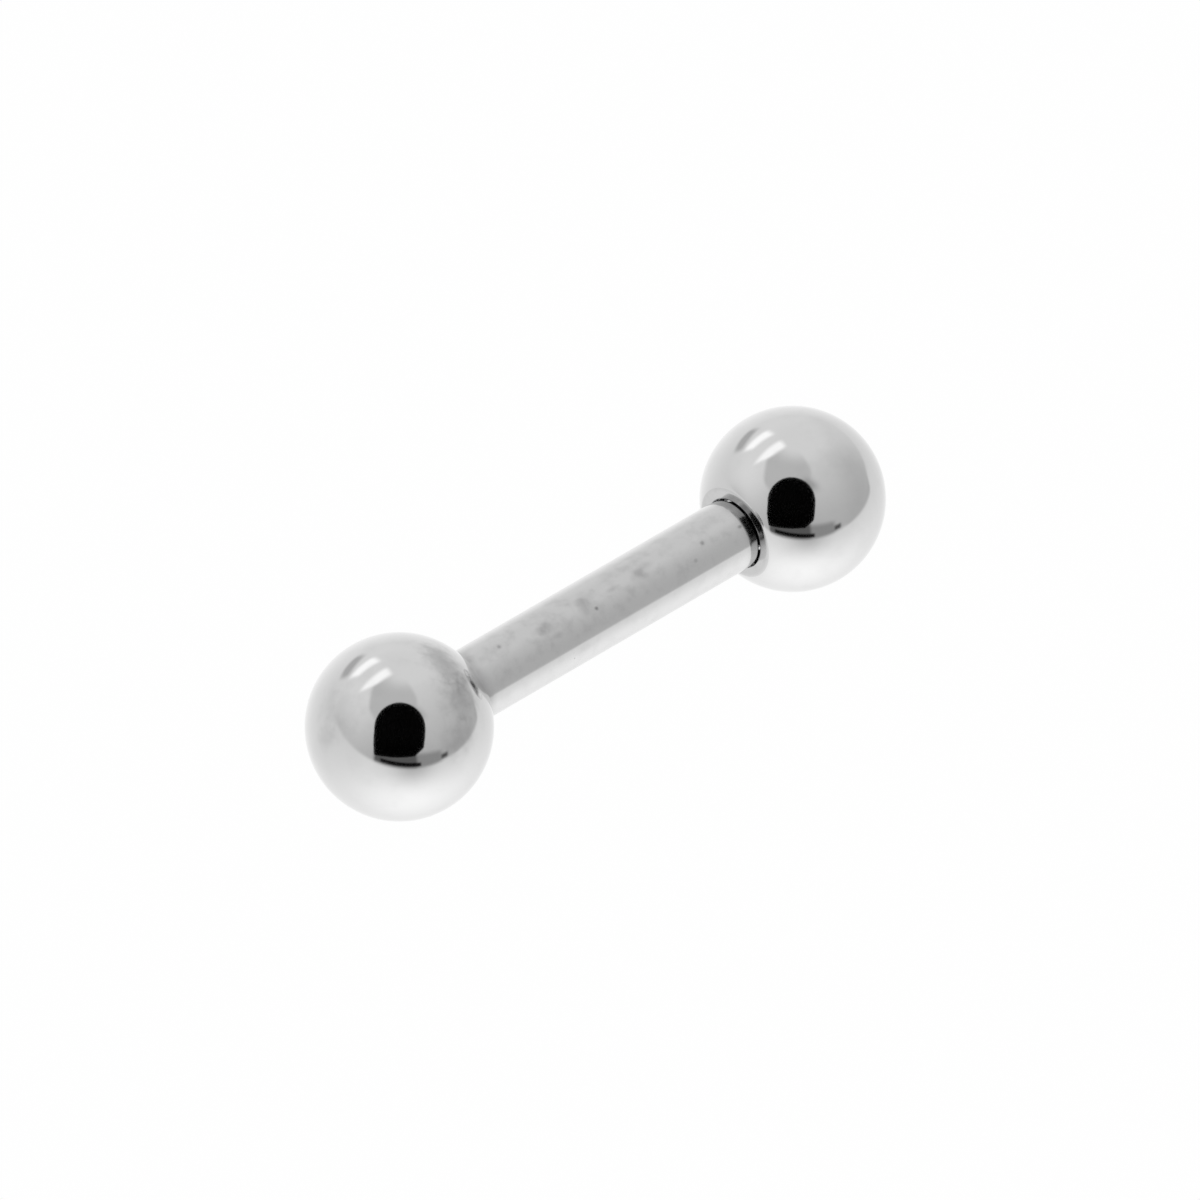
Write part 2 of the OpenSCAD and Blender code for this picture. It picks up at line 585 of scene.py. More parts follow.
class SteelEffects:
    """The node groups that the steel finishes share. Every place in them is in millimetres."""

    # The level of the cloud at which the film starts, how far full cover lowers that level, and how
    # far above it the film is full
    FILM_START = 0.72
    FILM_DROP = 0.5
    FILM_FADE = 0.36
    # The handled side fades in between these cosines of the angle from its middle
    SIDE_FROM = 0.58
    SIDE_FULL = 0.98
    # A smudge fades between these shares of its reach, after its edge has been torn
    SMUDGE_GONE = 1.5
    SMUDGE_FULL = -0.1
    # How many blots to a millimetre tear that edge, and by how much
    SMUDGE_BLOTS = 6.0
    SMUDGE_TORN = 1.6
    # The share of a speck that is solid, and the share of the cells that have no speck
    SPECK_SOLID = 0.4
    SPECK_FREE = 0.72
    # How quickly the depth changes from one turning ring to the next
    RING_CHANGE = 0.8

    def __init__(self) -> None:
        """Builds each group once."""
        self.film = self._film()
        self.handled_side = self._handled_side()
        self.smudge = self._smudge()
        self.speck = self._speck()
        self.drawn_lines = self._drawn_lines()
        self.turning_rings = self._turning_rings()
        self.polish_waves = self._polish_waves()

    def _film(self) -> bpy.types.NodeTree:
        """Builds the cloudy film that handling leaves, in blots of an even size.

        Returns:
            The group, which puts out a mask.
        """
        net, given, mask = Net.group("Handling film", "Mask", Place=ORIGIN, Blot=0.4, Cover=0.5)
        cloud = net.noise(given["Place"], net.math("DIVIDE", 1.0, given["Blot"]), detail=4.0)
        start = net.math("SUBTRACT", self.FILM_START, net.math("MULTIPLY", given["Cover"], self.FILM_DROP))
        net.feed(mask, net.ramp(cloud, start, net.math("ADD", start, self.FILM_FADE)))
        return net.tree

    def _handled_side(self) -> bpy.types.NodeTree:
        """Builds the side of the bar that fingers hold it by, fading round the bar.

        Returns:
            The group, which puts out a mask.
        """
        net, given, mask = Net.group("Handled side", "Mask", Place=ORIGIN, Side=UP)
        outwards = net.vector("NORMALIZE", net.off_axis(given["Place"]))
        cosine = net.vector("DOT_PRODUCT", outwards, given["Side"])
        net.feed(mask, net.ramp(cosine, self.SIDE_FROM, self.SIDE_FULL))
        return net.tree

    def _smudge(self) -> bpy.types.NodeTree:
        """Builds one smudge at a place, with a ragged edge and a cloudy inside.

        Returns:
            The group, which puts out a mask.
        """
        net, given, mask = Net.group(
            "Smudge", "Mask", Place=ORIGIN, Centre=ORIGIN, Length=0.3, Width=0.2)
        stretch = net.combine(given["Length"], given["Width"], given["Width"])
        offset = net.vector("SUBTRACT", given["Place"], given["Centre"])
        distance = net.vector("LENGTH", net.vector("DIVIDE", offset, stretch))
        ragged = net.noise(given["Place"], self.SMUDGE_BLOTS, detail=4.0)
        edge = net.plus(distance, net.math("SUBTRACT", ragged, 0.5), self.SMUDGE_TORN)
        net.feed(mask, net.ramp(edge, self.SMUDGE_GONE, self.SMUDGE_FULL))
        return net.tree

    def _speck(self) -> bpy.types.NodeTree:
        """Builds sparse small pits and dust specks.

        Returns:
            The group, which puts out a mask.
        """
        net, given, mask = Net.group("Specks", "Mask", Place=ORIGIN, Spacing=0.5, Size=0.02)
        scale = net.math("DIVIDE", 1.0, given["Spacing"])
        cells = net.feed_by_name(
            net.add("ShaderNodeTexVoronoi"), {"Vector": given["Place"], "Scale": scale})
        reach = net.math("DIVIDE", given["Size"], given["Spacing"])
        dot = net.ramp(cells["Distance"], reach, net.math("MULTIPLY", reach, self.SPECK_SOLID))
        chance = net.feed_in_order(net.add("ShaderNodeSeparateColor"), cells["Color"])[0]
        net.feed(mask, net.math("MULTIPLY", dot, net.math("GREATER_THAN", chance, self.SPECK_FREE)))
        return net.tree

    @staticmethod
    def _drawn_lines() -> bpy.types.NodeTree:
        """Builds the lengthwise lines that drawing and buffing leave.

        Returns:
            The group, which puts out a height.
        """
        net, given, height = Net.group("Drawn lines", "Height", Place=ORIGIN, Spacing=0.03, Stretch=40.0)
        across = net.math("DIVIDE", 1.0, given["Spacing"])
        along = net.math("DIVIDE", across, given["Stretch"])
        place = net.vector("MULTIPLY", given["Place"], net.combine(along, across, across))
        net.feed(height, net.noise(place, 1.0, detail=3.0))
        return net.tree

    def _turning_rings(self) -> bpy.types.NodeTree:
        """Builds the rings that a lathe tool leaves round the bar's axis.

        Returns:
            The group, which puts out a height.
        """
        net, given, height = Net.group("Turning rings", "Height", Place=ORIGIN, Spacing=0.02)
        across = net.vector("LENGTH", net.off_axis(given["Place"]))
        ring = net.math("DIVIDE", net.math("ADD", across, net.along(given["Place"])), given["Spacing"])
        net.feed(height, net.noise(net.combine(ring), self.RING_CHANGE, detail=2.0))
        return net.tree

    @staticmethod
    def _polish_waves() -> bpy.types.NodeTree:
        """Builds the slow waves that hand polishing leaves in a mirror surface.

        Returns:
            The group, which puts out a height.
        """
        net, given, height = Net.group("Polish waves", "Height", Place=ORIGIN, Spacing=0.5)
        scale = net.math("DIVIDE", 1.0, given["Spacing"])
        net.feed(height, net.noise(given["Place"], scale, detail=1.5))
        return net.tree


@dataclass(frozen=True)
class Smudge:
    """A smudge that the photograph shows, by its place on a round surface.

    Attributes:
        centre: Its middle on the surface, in millimetres.
        length: How far it reaches along the bar, in millimetres.
        width: How far it reaches across the bar, in millimetres.
        strength: How much of the steel's brightness it takes, from 0 to 1.
    """

    centre: Place
    length: float
    width: float
    strength: float


def on_bar(along: float, round_deg: float, radius: float = EAR_BAR["r_mm"]) -> Place:
    """Returns a place on the bar.

    Args:
        along: Its X, in millimetres.
        round_deg: Its angle from straight up, towards -Y.
        radius: The bar's radius, in millimetres.

    Returns:
        The place in millimetres.
    """
    angle = math.radians(round_deg)
    return (along, -radius * math.sin(angle), radius * math.cos(angle))


def on_ball(end: End, from_bar: float, round_deg: float) -> Place:
    """Returns a place on a ball.

    Args:
        end: The end of the bar that the ball is on.
        from_bar: Its angle at the ball's centre, from the side that the bar is on.
        round_deg: Its angle round the bar's axis, from straight up towards -Y.

    Returns:
        The place in millimetres.
    """
    ball = ThreadedBall(end)
    out = math.radians(from_bar)
    around = on_bar(0.0, round_deg, radius=ball.radius * math.sin(out))
    low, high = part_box(end.ball)
    radius = ball.radius * MM
    centre = (high.x - radius if end is End.RIGHT else low.x + radius) / MM
    return (centre - end.value * ball.radius * math.cos(out), around[1], around[2])


@dataclass(frozen=True)
class SteelFinish:
    """A polished steel finish, with what handling has left on it, and painted shade by the seats.

    Attributes:
        name: The material's name.
        grey: How much light the bare steel mirrors, for red, green and blue.
        roughness: The roughness of the bare steel.
        film: How much of the brightness the cloudy film takes.
        film_blot: The size of the film's blots, in millimetres.
        film_cover: How much of the surface the film covers, from 0 to 1.
        handled: How much of the brightness the film takes on the side that fingers hold.
        handled_side: The direction of that side from the bar's axis.
        seat_painted_shade: How much of the brightness the painted shade right beside the seats takes. It
            stands for the ball's shadow and dark reflection on the bar.
        seam_painted_shade: How much more of it the painted shade in the seam between bar and seat takes. It
            hides glints of light there, and stands for residue packed in the seam too.
        speck: How much of the brightness a speck takes.
        lines: The depth of the drawn lines, in micrometres.
        waves: The depth of the polish waves, in micrometres.
        smudges: The smudges that the photograph shows.
    """

    name: str
    grey: Grey
    roughness: float
    film: float
    film_blot: float
    film_cover: float
    handled: float
    handled_side: Place
    seat_painted_shade: float
    seam_painted_shade: float
    speck: float
    lines: float
    waves: float
    smudges: tuple[Smudge, ...] = ()

    # Painted shade by the seats, for the ball's shadow and dark reflection on the bar, builds up between
    # these two places along the bar, in millimetres
    SEAT_SHADE_FROM = 2.68
    SEAT_SHADE_FULL = 2.96
    # Painted shade fills the seam from the first of these to the second. It hides glints of light there and
    # stands for grime packed in the seam too
    SEAM_FROM = 2.972
    SEAM_FULL = 2.980
    # What the steel mirrors where it is all dirt, and where the painted shade by the seats and in the seam
    # is full
    DIRT_AND_SHADE_GREY = (0.05, 0.05, 0.052)
    # How much of the film on the handled side is even, and how much its clouds add
    HANDLED_EVEN = 0.75
    HANDLED_CLOUDY = 0.5

    def build(self, effects: SteelEffects) -> bpy.types.Material:
        """Makes the material.

        Args:
            effects: The node groups that the finishes share.

        Returns:
            The material.
        """
        material = bpy.data.materials.new(self.name)
        net = Net.shader(material)
        place = net.place()
        film = net.use(effects.film, Place=place, Blot=self.film_blot, Cover=self.film_cover)
        # One mask holds the real film, smudges and specks, and the painted shade by the seats and in the
        # seam
        dirt_and_shade = self._held_and_shaded(net, effects, place, film)
        for smudge in self.smudges:
            mask = net.use(effects.smudge, Place=place, Centre=smudge.centre, Length=smudge.length,
                           Width=smudge.width)
            dirt_and_shade = net.plus(dirt_and_shade, mask, smudge.strength)
        dirt_and_shade = net.plus(dirt_and_shade, net.use(effects.speck, Place=place), self.speck, clamp=True)
        rough = net.plus(self.roughness, dirt_and_shade, DULLING)
        net.metal(self.grey, self.DIRT_AND_SHADE_GREY, dirt_and_shade, rough, self._relief(net, effects, place))
        return material

    def _held_and_shaded(self, net: Net, effects: SteelEffects, place: Socket, film: Socket) -> Socket:
        """Adds up the thin film all over, the film on the handled side, and the painted shade by the seats
        and in the seam.

        Args:
            net: The material's net.
            effects: The node groups that the finishes share.
            place: The place in millimetres.
            film: The mask of the cloudy film.

        Returns:
            How much of the brightness they take.
        """
        side = net.use(effects.handled_side, Place=place, Side=self.handled_side)
        cloudy = net.math("ADD", net.math("MULTIPLY", film, self.HANDLED_CLOUDY), self.HANDLED_EVEN)
        handled = net.math("MULTIPLY", net.math("MULTIPLY", side, cloudy), self.handled)
        along = net.math("ABSOLUTE", net.along(place))
        # Painted shade: darker by the seats for the ball's shadow and reflection, and darkest in the seam
        seat_shade = net.ramp(along, self.SEAT_SHADE_FROM, self.SEAT_SHADE_FULL, high=self.seat_painted_shade)
        seam = net.ramp(along, self.SEAM_FROM, self.SEAM_FULL, high=self.seam_painted_shade)
        thin = net.math("MULTIPLY", film, self.film)
        return net.math("ADD", net.math("ADD", thin, handled), net.math("ADD", seat_shade, seam))

    def _relief(self, net: Net, effects: SteelEffects, place: Socket) -> Socket:
        """Returns the normal of the drawn lines over the polish waves."""
        waves = net.bump(net.use(effects.polish_waves, Place=place), self.waves)
        return net.bump(net.use(effects.drawn_lines, Place=place), self.lines, Normal=waves)


@dataclass(frozen=True)
class TurnedFinish:
    """Steel as it comes off the lathe: seats, holes, threads and the ends of the bar.

    Attributes:
        name: The material's name.
        grey: How much light the steel mirrors, for red, green and blue.
        roughness: Its roughness.
        ring_depth: The depth of the tool's rings, in micrometres.
        ring_spacing: The distance from ring to ring, in millimetres.
    """

    name: str
    grey: Grey
    roughness: float
    ring_depth: float
    ring_spacing: float

    # The thin film on turned steel: its blots in millimetres, its cover and how much dirt it makes
    FILM_BLOT = 0.2
    FILM_COVER = 0.5
    FILM_DIRT = 0.18
    # What the steel mirrors where it is all dirt, and where the painted shade in the crevice is full
    DIRT_AND_SHADE_GREY = (0.2, 0.2, 0.21)
    # The painted shade between the bar's end and the seat fades in over the first pair of places and out
    # over the second, along the bar and then outwards from its axis, in millimetres. It dims glints of light
    # in the gap and stands for grime there too.
    CREVICE_ALONG = ((2.980, 2.985), (3.030, 3.005))
    CREVICE_ACROSS = ((0.50, 0.55), (0.62, 0.60))
    CREVICE_SHADE = 0.9

    def build(self, effects: SteelEffects) -> bpy.types.Material:
        """Makes the material.

        Args:
            effects: The node groups that the finishes share.

        Returns:
            The material.
        """
        material = bpy.data.materials.new(self.name)
        net = Net.shader(material)
        place = net.place()
        film = net.use(effects.film, Place=place, Blot=self.FILM_BLOT, Cover=self.FILM_COVER)
        thin = net.math("MULTIPLY", film, self.FILM_DIRT)
        # The crevice term is painted shade, added to the film's darkening
        dirt_and_shade = net.math("ADD", thin, self._crevice_shade(net, place), clamp=True)
        rough = net.plus(self.roughness, film, DULLING)
        rings = net.use(effects.turning_rings, Place=place, Spacing=self.ring_spacing)
        net.metal(self.grey, self.DIRT_AND_SHADE_GREY, dirt_and_shade, rough, net.bump(rings, self.ring_depth))
        return material

    def _crevice_shade(self, net: Net, place: Socket) -> Socket:
        """Adds painted shade between the bar's end and the seat, near the bar's edge. It dims glints of
        light in the gap and stands for residue there too.

        Args:
            net: The material's net.
            place: The place in millimetres.

        Returns:
            How much painted shade it puts on the steel, from 0 to 1.
        """
        along = net.math("ABSOLUTE", net.along(place))
        across = net.vector("LENGTH", net.off_axis(place))
        at_seam = net.math("MULTIPLY", *(net.ramp(along, *fade) for fade in self.CREVICE_ALONG))
        at_edge = net.math("MULTIPLY", *(net.ramp(across, *fade) for fade in self.CREVICE_ACROSS))
        return net.math("MULTIPLY", net.math("MULTIPLY", at_seam, at_edge), self.CREVICE_SHADE)


@dataclass(frozen=True)
class Finishes:
    """The three finishes, built.

    Attributes:
        ball: The mirror polish of the balls.
        bar: The polish of the bar.
        turned: The turned steel of seats, holes, threads and ends.
    """

    ball: bpy.types.Material
    bar: bpy.types.Material
    turned: bpy.types.Material


def dress(item: bpy.types.Object, polished: bpy.types.Material, turned: bpy.types.Material,
          is_turned: PlaceTest) -> None:
    """Gives a piece its polish, and turned steel where a test says so.

    Args:
        item: The piece.
        polished: The material of its polished faces.
        turned: The material of its turned faces.
        is_turned: Takes a face's middle, in millimetres, and its normal.
    """
    item.data.materials.clear()
    item.data.materials.append(polished)
    item.data.materials.append(turned)
    for face in item.data.polygons:
        face.material_index = int(is_turned(face.center / MM, face.normal))


@dataclass
class ThreadedBall:
    """A ball with a flat seat, and a tapped hole for the stud.

    Attributes:
        end: The end of the bar that it is screwed onto.
        radius: The ball's radius, in millimetres.
        seat_radius: The radius of the flat that the seat leaves, in millimetres.
        seat_rounding: The width of the rounding at the edge of the seat.
        eased_by: How much polishing has taken off the sphere right beside the seat.
        hole_radius: The radius of the hole's wall.
        hole_depth: The depth of the hole's wall.
        mouth: The width of the chamfer at the hole's mouth.
        groove_depth: How deep the tap cuts into the wall.
        pitch: The pitch of the tapped thread.
    """

    end: End
    radius: float = 1.5
    seat_radius: float = 0.78
    seat_rounding: float = 0.035
    eased_by: float = 0.006
    hole_radius: float = 0.575
    hole_depth: float = 1.9
    mouth: float = 0.025
    groove_depth: float = 0.07
    pitch: float = 0.25

    SIDES = 144
    # This many rings leave the seat's edge clear of the next ring, with room for its rounding
    RINGS = 70
    TAPPED_LENGTH = 1.5
    # The width of the narrow ring inside the seat's rounding
    HOLDING_RING = 0.015
    # The ring of corners next to the seat is eased by this many times less than the seat's edge
    NEXT_RING_LESS = 3
    # The tap's ridge starts this much nearer to the axis than the wall, and is there this share of a
    # pitch wide to each side
    TAP_OVERLAP = 0.02
    TAP_HALF_WIDTH = 0.4
    # Faces that lie further than this inside the sphere are turned, not polished
    TURNED_BELOW = 0.006

    @property
    def seat_depth(self) -> float:
        """The distance from the seat to the ball's centre."""
        return math.sqrt(self.radius ** 2 - self.seat_radius ** 2)

    @property
    def seat(self) -> float:
        """The place of the seat along the bar, in metres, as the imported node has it."""
        low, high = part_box(self.end.ball)
        return low.x if self.end is End.RIGHT else high.x

    def build(self) -> bpy.types.Object:
        """Models the ball and sets it on its stud.

        Returns:
            The finished object.
        """
        piece = Workpiece.sphere(f"{self.end.ball}_polished", self.radius, self.SIDES, self.RINGS)
        piece.move((0, 0, self.seat_depth))
        piece.cut_flat(0, keep_above=True)
        self._ease_rim(piece)
        self._shape_seat(piece)
        self._drill(piece)
        piece.join(self._tap(), Joining.CUT)
        return piece.lay_on_axis(self.end, self.seat)

    def _ease_rim(self, piece: Workpiece) -> None:
        """Takes a little off the sphere beside the seat, as polishing does.

        Args:
            piece: The sphere, cut flat at its seat.
        """
        step = math.pi / self.RINGS
        next_ring = step * math.ceil(math.asin(self.seat_radius / self.radius) / step)
        ring_radius = self.radius * math.sin(next_ring)
        piece.pick(Pick.CORNERS,
                   lambda place, _: abs(place.xy.length - ring_radius) < NEAR and place.z < self.radius / 2)
        piece.move((0, 0, self.eased_by / self.NEXT_RING_LESS))
        piece.pick(Pick.CORNERS, lambda place, _: abs(place.z) < NEAR)
        piece.scale_round(1 - self.eased_by / math.tan(next_ring) / self.seat_radius, 0)

    def _shape_seat(self, piece: Workpiece) -> None:
        """Rounds the edge of the seat and insets it down to the hole's mouth.

        Args:
            piece: The ball with its eased rim. It is left with the disc of the mouth selected.
        """
        piece.pick(Pick.EDGES, lambda middle, _: abs(middle.z) < NEAR)
        piece.bevel(self.seat_rounding, steps=4)
        piece.pick(Pick.FACES, self._is_seat)
        seat_edge = piece.reach()
        # A narrow ring first, which keeps the rounding's shading off the flat
        piece.inset(self.HOLDING_RING)
        piece.inset(seat_edge - self.HOLDING_RING - self.hole_radius - self.mouth)

    def _drill(self, piece: Workpiece) -> None:
        """Sinks the hole with its chamfered mouth and its drill point.

        Args:
            piece: The ball with the disc of the mouth selected.
        """
        piece.extrude(self.mouth)
        piece.scale_round(self.hole_radius / (self.hole_radius + self.mouth), self.mouth)
        piece.extrude(self.hole_depth - self.mouth)
        piece.extrude(self.hole_radius * math.tan(DRILL_ANGLE))
        bpy.ops.mesh.merge(type="CENTER")

    def _tap(self) -> Workpiece:
        """Winds the helical ridge that cuts the thread into the wall.

        Returns:
            The ridge, closed.
        """
        inner = self.hole_radius - self.TAP_OVERLAP
        outer = self.hole_radius + self.groove_depth
        half = self.TAP_HALF_WIDTH * self.pitch
        first = -self.pitch
        ridge = Workpiece.outline("tap", [(inner, first - half), (outer, first), (inner, first + half)])
        bpy.ops.mesh.select_all(action="SELECT")
        bpy.ops.mesh.edge_face_add()
        bpy.ops.mesh.delete(type="ONLY_FACE")
        ridge.wind(self.pitch, round(self.TAPPED_LENGTH / self.pitch) + 1, THREAD_STEPS)
        ridge.cap()
        return ridge

    @staticmethod
    def _is_seat(middle: Vector, normal: Vector) -> bool:
        """Tells the flat seat from the rest of the ball."""
        return abs(middle.z) < NEAR and middle.xy.length < NEAR and abs(normal.z) > FLAT

    def dress(self, item: bpy.types.Object, finishes: Finishes) -> None:
        """Gives the ball its mirror polish, and turned steel on the seat and in the hole.

        Args:
            item: The ball.
            finishes: The finishes, built.
        """
        centre = Vector((self.seat / MM + self.end.value * self.seat_depth, 0, 0))
        polished_from = self.radius - self.TURNED_BELOW
        dress(item, finishes.ball, finishes.turned, lambda place, _: (place - centre).length < polished_from)

    def set_in_frame(self, item: bpy.types.Object) -> None:
        """Lets the ball ride on its body in place of its plain node."""
        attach(item, self.end.ball)
        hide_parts(self.end.ball)


@dataclass
class StuddedBar:
    """The straight polished bar with a threaded stud at each end, in one piece.

    Attributes:
        radius: The bar's radius, in millimetres.
        half_length: From its middle to an end face.
        stud_length: From an end face to the tip of a stud.
        edge: The width of the rounding round each end face.
        eased_length: How long the slight taper is that polishing leaves at each end.
        eased_by: How much smaller the radius is at the end of that taper.
        pitch: The pitch of the thread.
        relief: How far the crests lie inside the bar's surface.
    """

    radius: float
    half_length: float
    stud_length: float
    edge: float = 0.015
    eased_length: float = 0.20
    eased_by: float = 0.022
    pitch: float = 0.25
    relief: float = 0.04

    SIDES = 144
    # In widths of the rounding: how far from the end face a ring of edges holds its shading, and how
    # wide the narrow ring is that does so on the end face
    HOLDING_EDGE = 2.5
    HOLDING_RING = 0.5
    # How far a stud reaches into the bar, where the two are joined
    ROOTED = 0.2
    # The thread is wound from this many turns below the end face, so that the cut at its foot meets
    # no open rim, and for this many turns more than the stud is long
    FOOT_TURNS = 2.5
    SPARE_TURNS = 3
    # The chamfer at a stud's tip ends this far below the thread's root. Its sides fall between the
    # thread's steps, so that the two cross cleanly.
    LEAD_BELOW_ROOT = 0.012
    LEAD_SIDES = 130

    @classmethod
    def from_frame(cls) -> "StuddedBar":
        """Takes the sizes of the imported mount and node.

        Returns:
            The bar.
        """
        half = EAR_BAR["length_mm"] / 2 + cls.edge
        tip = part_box("bar")[1].x / MM
        return cls(radius=EAR_BAR["r_mm"], half_length=half, stud_length=tip - half)

    @property
    def crest(self) -> float:
        """The radius of the thread's crests."""
        return self.radius - self.relief

    @property
    def root(self) -> float:
        """The radius of the thread's roots."""
        return self.crest - FLANK_SHARE * self.pitch / math.tan(FLANK_ANGLE)

    def build(self) -> bpy.types.Object:
        """Models the bar and joins a stud to each end.

        Returns:
            The finished object.
        """
        piece = Workpiece.cylinder(
            "bar_polished", self.radius, -self.half_length, self.half_length, self.SIDES)
        rim = self.half_length - NEAR
        eased = self.half_length - self.eased_length
        for side in (-1, 1):
            piece.ring_at(side * eased)
            piece.ring_at(side * (eased - self.edge))
            piece.pick(Pick.CORNERS, lambda place, _: place.z * side > rim)
            piece.scale_round(1 - self.eased_by / self.radius, side * self.half_length)
        piece.pick(Pick.EDGES, lambda middle, _: abs(middle.z) > rim)
        piece.bevel(self.edge, steps=3)
        for side in (-1, 1):
            piece.ring_at(side * (eased + self.edge))
            piece.ring_at(side * (self.half_length - self.HOLDING_EDGE * self.edge))
            piece.pick(Pick.FACES, lambda middle, _: middle.z * side > rim)
            piece.inset(self.HOLDING_RING * self.edge)
        stud = self._stud()
        other = stud.copy_turned("stud_copy", math.pi)
        piece.join(stud, Joining.UNION)
        piece.join(other, Joining.UNION)
        return piece.lay_on_axis(End.RIGHT, 0.0)

    def _stud(self) -> Workpiece:
        """Winds the threaded stud, standing where it is on the upper end of the bar.

        Returns:
            The stud, closed.
        """
        foot = self.half_length - self.FOOT_TURNS * self.pitch
        # From the middle of one root over a crest to the middle of the next
        radii = (self.root, self.root, self.crest, self.crest, self.root, self.root)
        half_root = ROOT_SHARE / 2
        shares = accumulate((half_root, half_root, FLANK_SHARE, CREST_SHARE, FLANK_SHARE, half_root))
        stud = Workpiece.outline("stud", [(r, foot + share * self.pitch) for r, share in zip(radii, shares)])
        stud.wind(self.pitch, math.ceil(self.stud_length / self.pitch) + self.SPARE_TURNS, THREAD_STEPS)
        tip = self.half_length + self.stud_length
        stud.cut_flat(self.half_length - self.ROOTED, keep_above=True)
        stud.cut_flat(tip, keep_above=False)
        stud.cap()
        stud.join(self._lead_in(tip), Joining.COMMON)
        return stud

    def _lead_in(self, tip: float) -> Workpiece:
        """Turns the cylinder with a chamfered top that trims the stud's first threads.

        Args:
            tip: The height of the stud's tip.

        Returns:
            The cylinder.
        """
        blank = Workpiece.cylinder("lead_in", self.radius, 0, tip, self.LEAD_SIDES)
        blank.pick(Pick.EDGES, lambda middle, _: middle.z > tip - NEAR)
        blank.bevel(self.radius - self.root + self.LEAD_BELOW_ROOT, steps=1)
        return blank

    def dress(self, item: bpy.types.Object, finishes: Finishes) -> None:
        """Gives the bar its polish, and turned steel on its end faces and studs."""
        end = self.half_length - NEAR
        dress(item, finishes.bar, finishes.turned, lambda place, _: abs(place.x) > end)

    def set_in_frame(self, item: bpy.types.Object) -> None:
        """Lets the bar ride on its body in place of its plain node."""
        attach(item, "bar")
        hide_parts("bar")


@dataclass(frozen=True)
class PhotoCamera:
    """The camera at the photograph's viewing angle.

    Attributes:
        azimuth: Its azimuth in degrees, where 0 looks along +Y.
        elevation: Its elevation in degrees.
        distance: Its distance, in millimetres.
        lens: Its focal length on a 36 mm sensor.
        aim_right: How far right of the origin it aims, in millimetres.
        aim_up: How far above the origin it aims, in the picture.
    """

    azimuth: float = -42.959
    elevation: float = 38.442
    distance: float = 280.0
    lens: float = 527.2
    aim_right: float = 0.038
    aim_up: float = 0.190

    SENSOR_WIDTH = 36.0

    @property
    def front(self) -> Vector:
        """The level direction from the object towards the camera."""
        turn = math.radians(self.azimuth)
        return Vector((math.sin(turn), -math.cos(turn), 0))

    @property
    def right(self) -> Vector:
        """The picture's right."""
        turn = math.radians(self.azimuth)
        return Vector((math.cos(turn), math.sin(turn), 0))

    @property
    def towards(self) -> Vector:
        """The direction from the object to the camera."""
        rise = math.radians(self.elevation)
        return self.front * math.cos(rise) + Vector((0, 0, math.sin(rise)))

    @property
    def picture_up(self) -> Vector:
        """The picture's upward direction."""
        return self.towards.cross(self.right)

    def direction(self, across: float, up: float) -> Vector:
        """Returns a direction from the object.

        Args:
            across: Its azimuth from the camera's, in degrees.
            up: Its elevation in degrees.

        Returns:
            The unit vector.
        """
        turn = math.radians(across)
        rise = math.radians(up)
        level = self.right * math.sin(turn) + self.front * math.cos(turn)
        return level * math.cos(rise) + Vector((0, 0, math.sin(rise)))

    def build(self) -> None:
        """Adds the camera to the scene."""
        data = bpy.data.cameras.new("photo_camera")
        data.lens = self.lens
        data.sensor_width = self.SENSOR_WIDTH
        data.clip_start = 0.01
        data.clip_end = 10.0
        item = bpy.data.objects.new("photo_camera", data)
        bpy.context.scene.collection.objects.link(item)
        aim = (self.right * self.aim_right + self.picture_up * self.aim_up) * MM
        item.location = aim + self.towards * self.distance * MM
        item.rotation_euler = (-self.towards).to_track_quat("-Z", "Y").to_euler()
        bpy.context.scene.camera = item


@dataclass(frozen=True)
class Glow:
    """A broad soft brightening or darkening of the tent.

    Attributes:
        across: The azimuth of its middle from the camera's, in degrees.
        up: The elevation of its middle.
        focus: How narrow it is: 2 covers half the tent, and 10 a tenth.
        gain: How much light it adds at its middle, below 0 if it takes light away.
    """

    across: float
    up: float
    focus: float
    gain: float


@dataclass(frozen=True)
class Patch:
    """A lamp, a dark edge or another shape in the tent, with straight soft edges.

    Attributes:
        corners: The azimuth from the camera's and the elevation of each corner, in order round it.
        soft: Half the width of its soft edge, in degrees.
        light: What it shines with.
        cover: How much of the light behind it it replaces, from 0 to 1.
    """

    corners: tuple[tuple[float, float], ...]
    soft: float
    light: float
    cover: float = 1.0

    def edges(self, camera: PhotoCamera) -> list[Vector]:
        """Works out which way is inwards at each edge.

        Args:
            camera: The camera from which the corners are measured.

        Returns:
            A unit vector for each edge, square to it and towards its inner side.
        """
        ends = [camera.direction(*corner) for corner in self.corners]
        middle = sum(ends, Vector())
        poles = [start.cross(stop).normalized() for start, stop in zip(ends, ends[1:] + ends[:1])]
        return [pole if pole.dot(middle) > 0 else -pole for pole in poles]


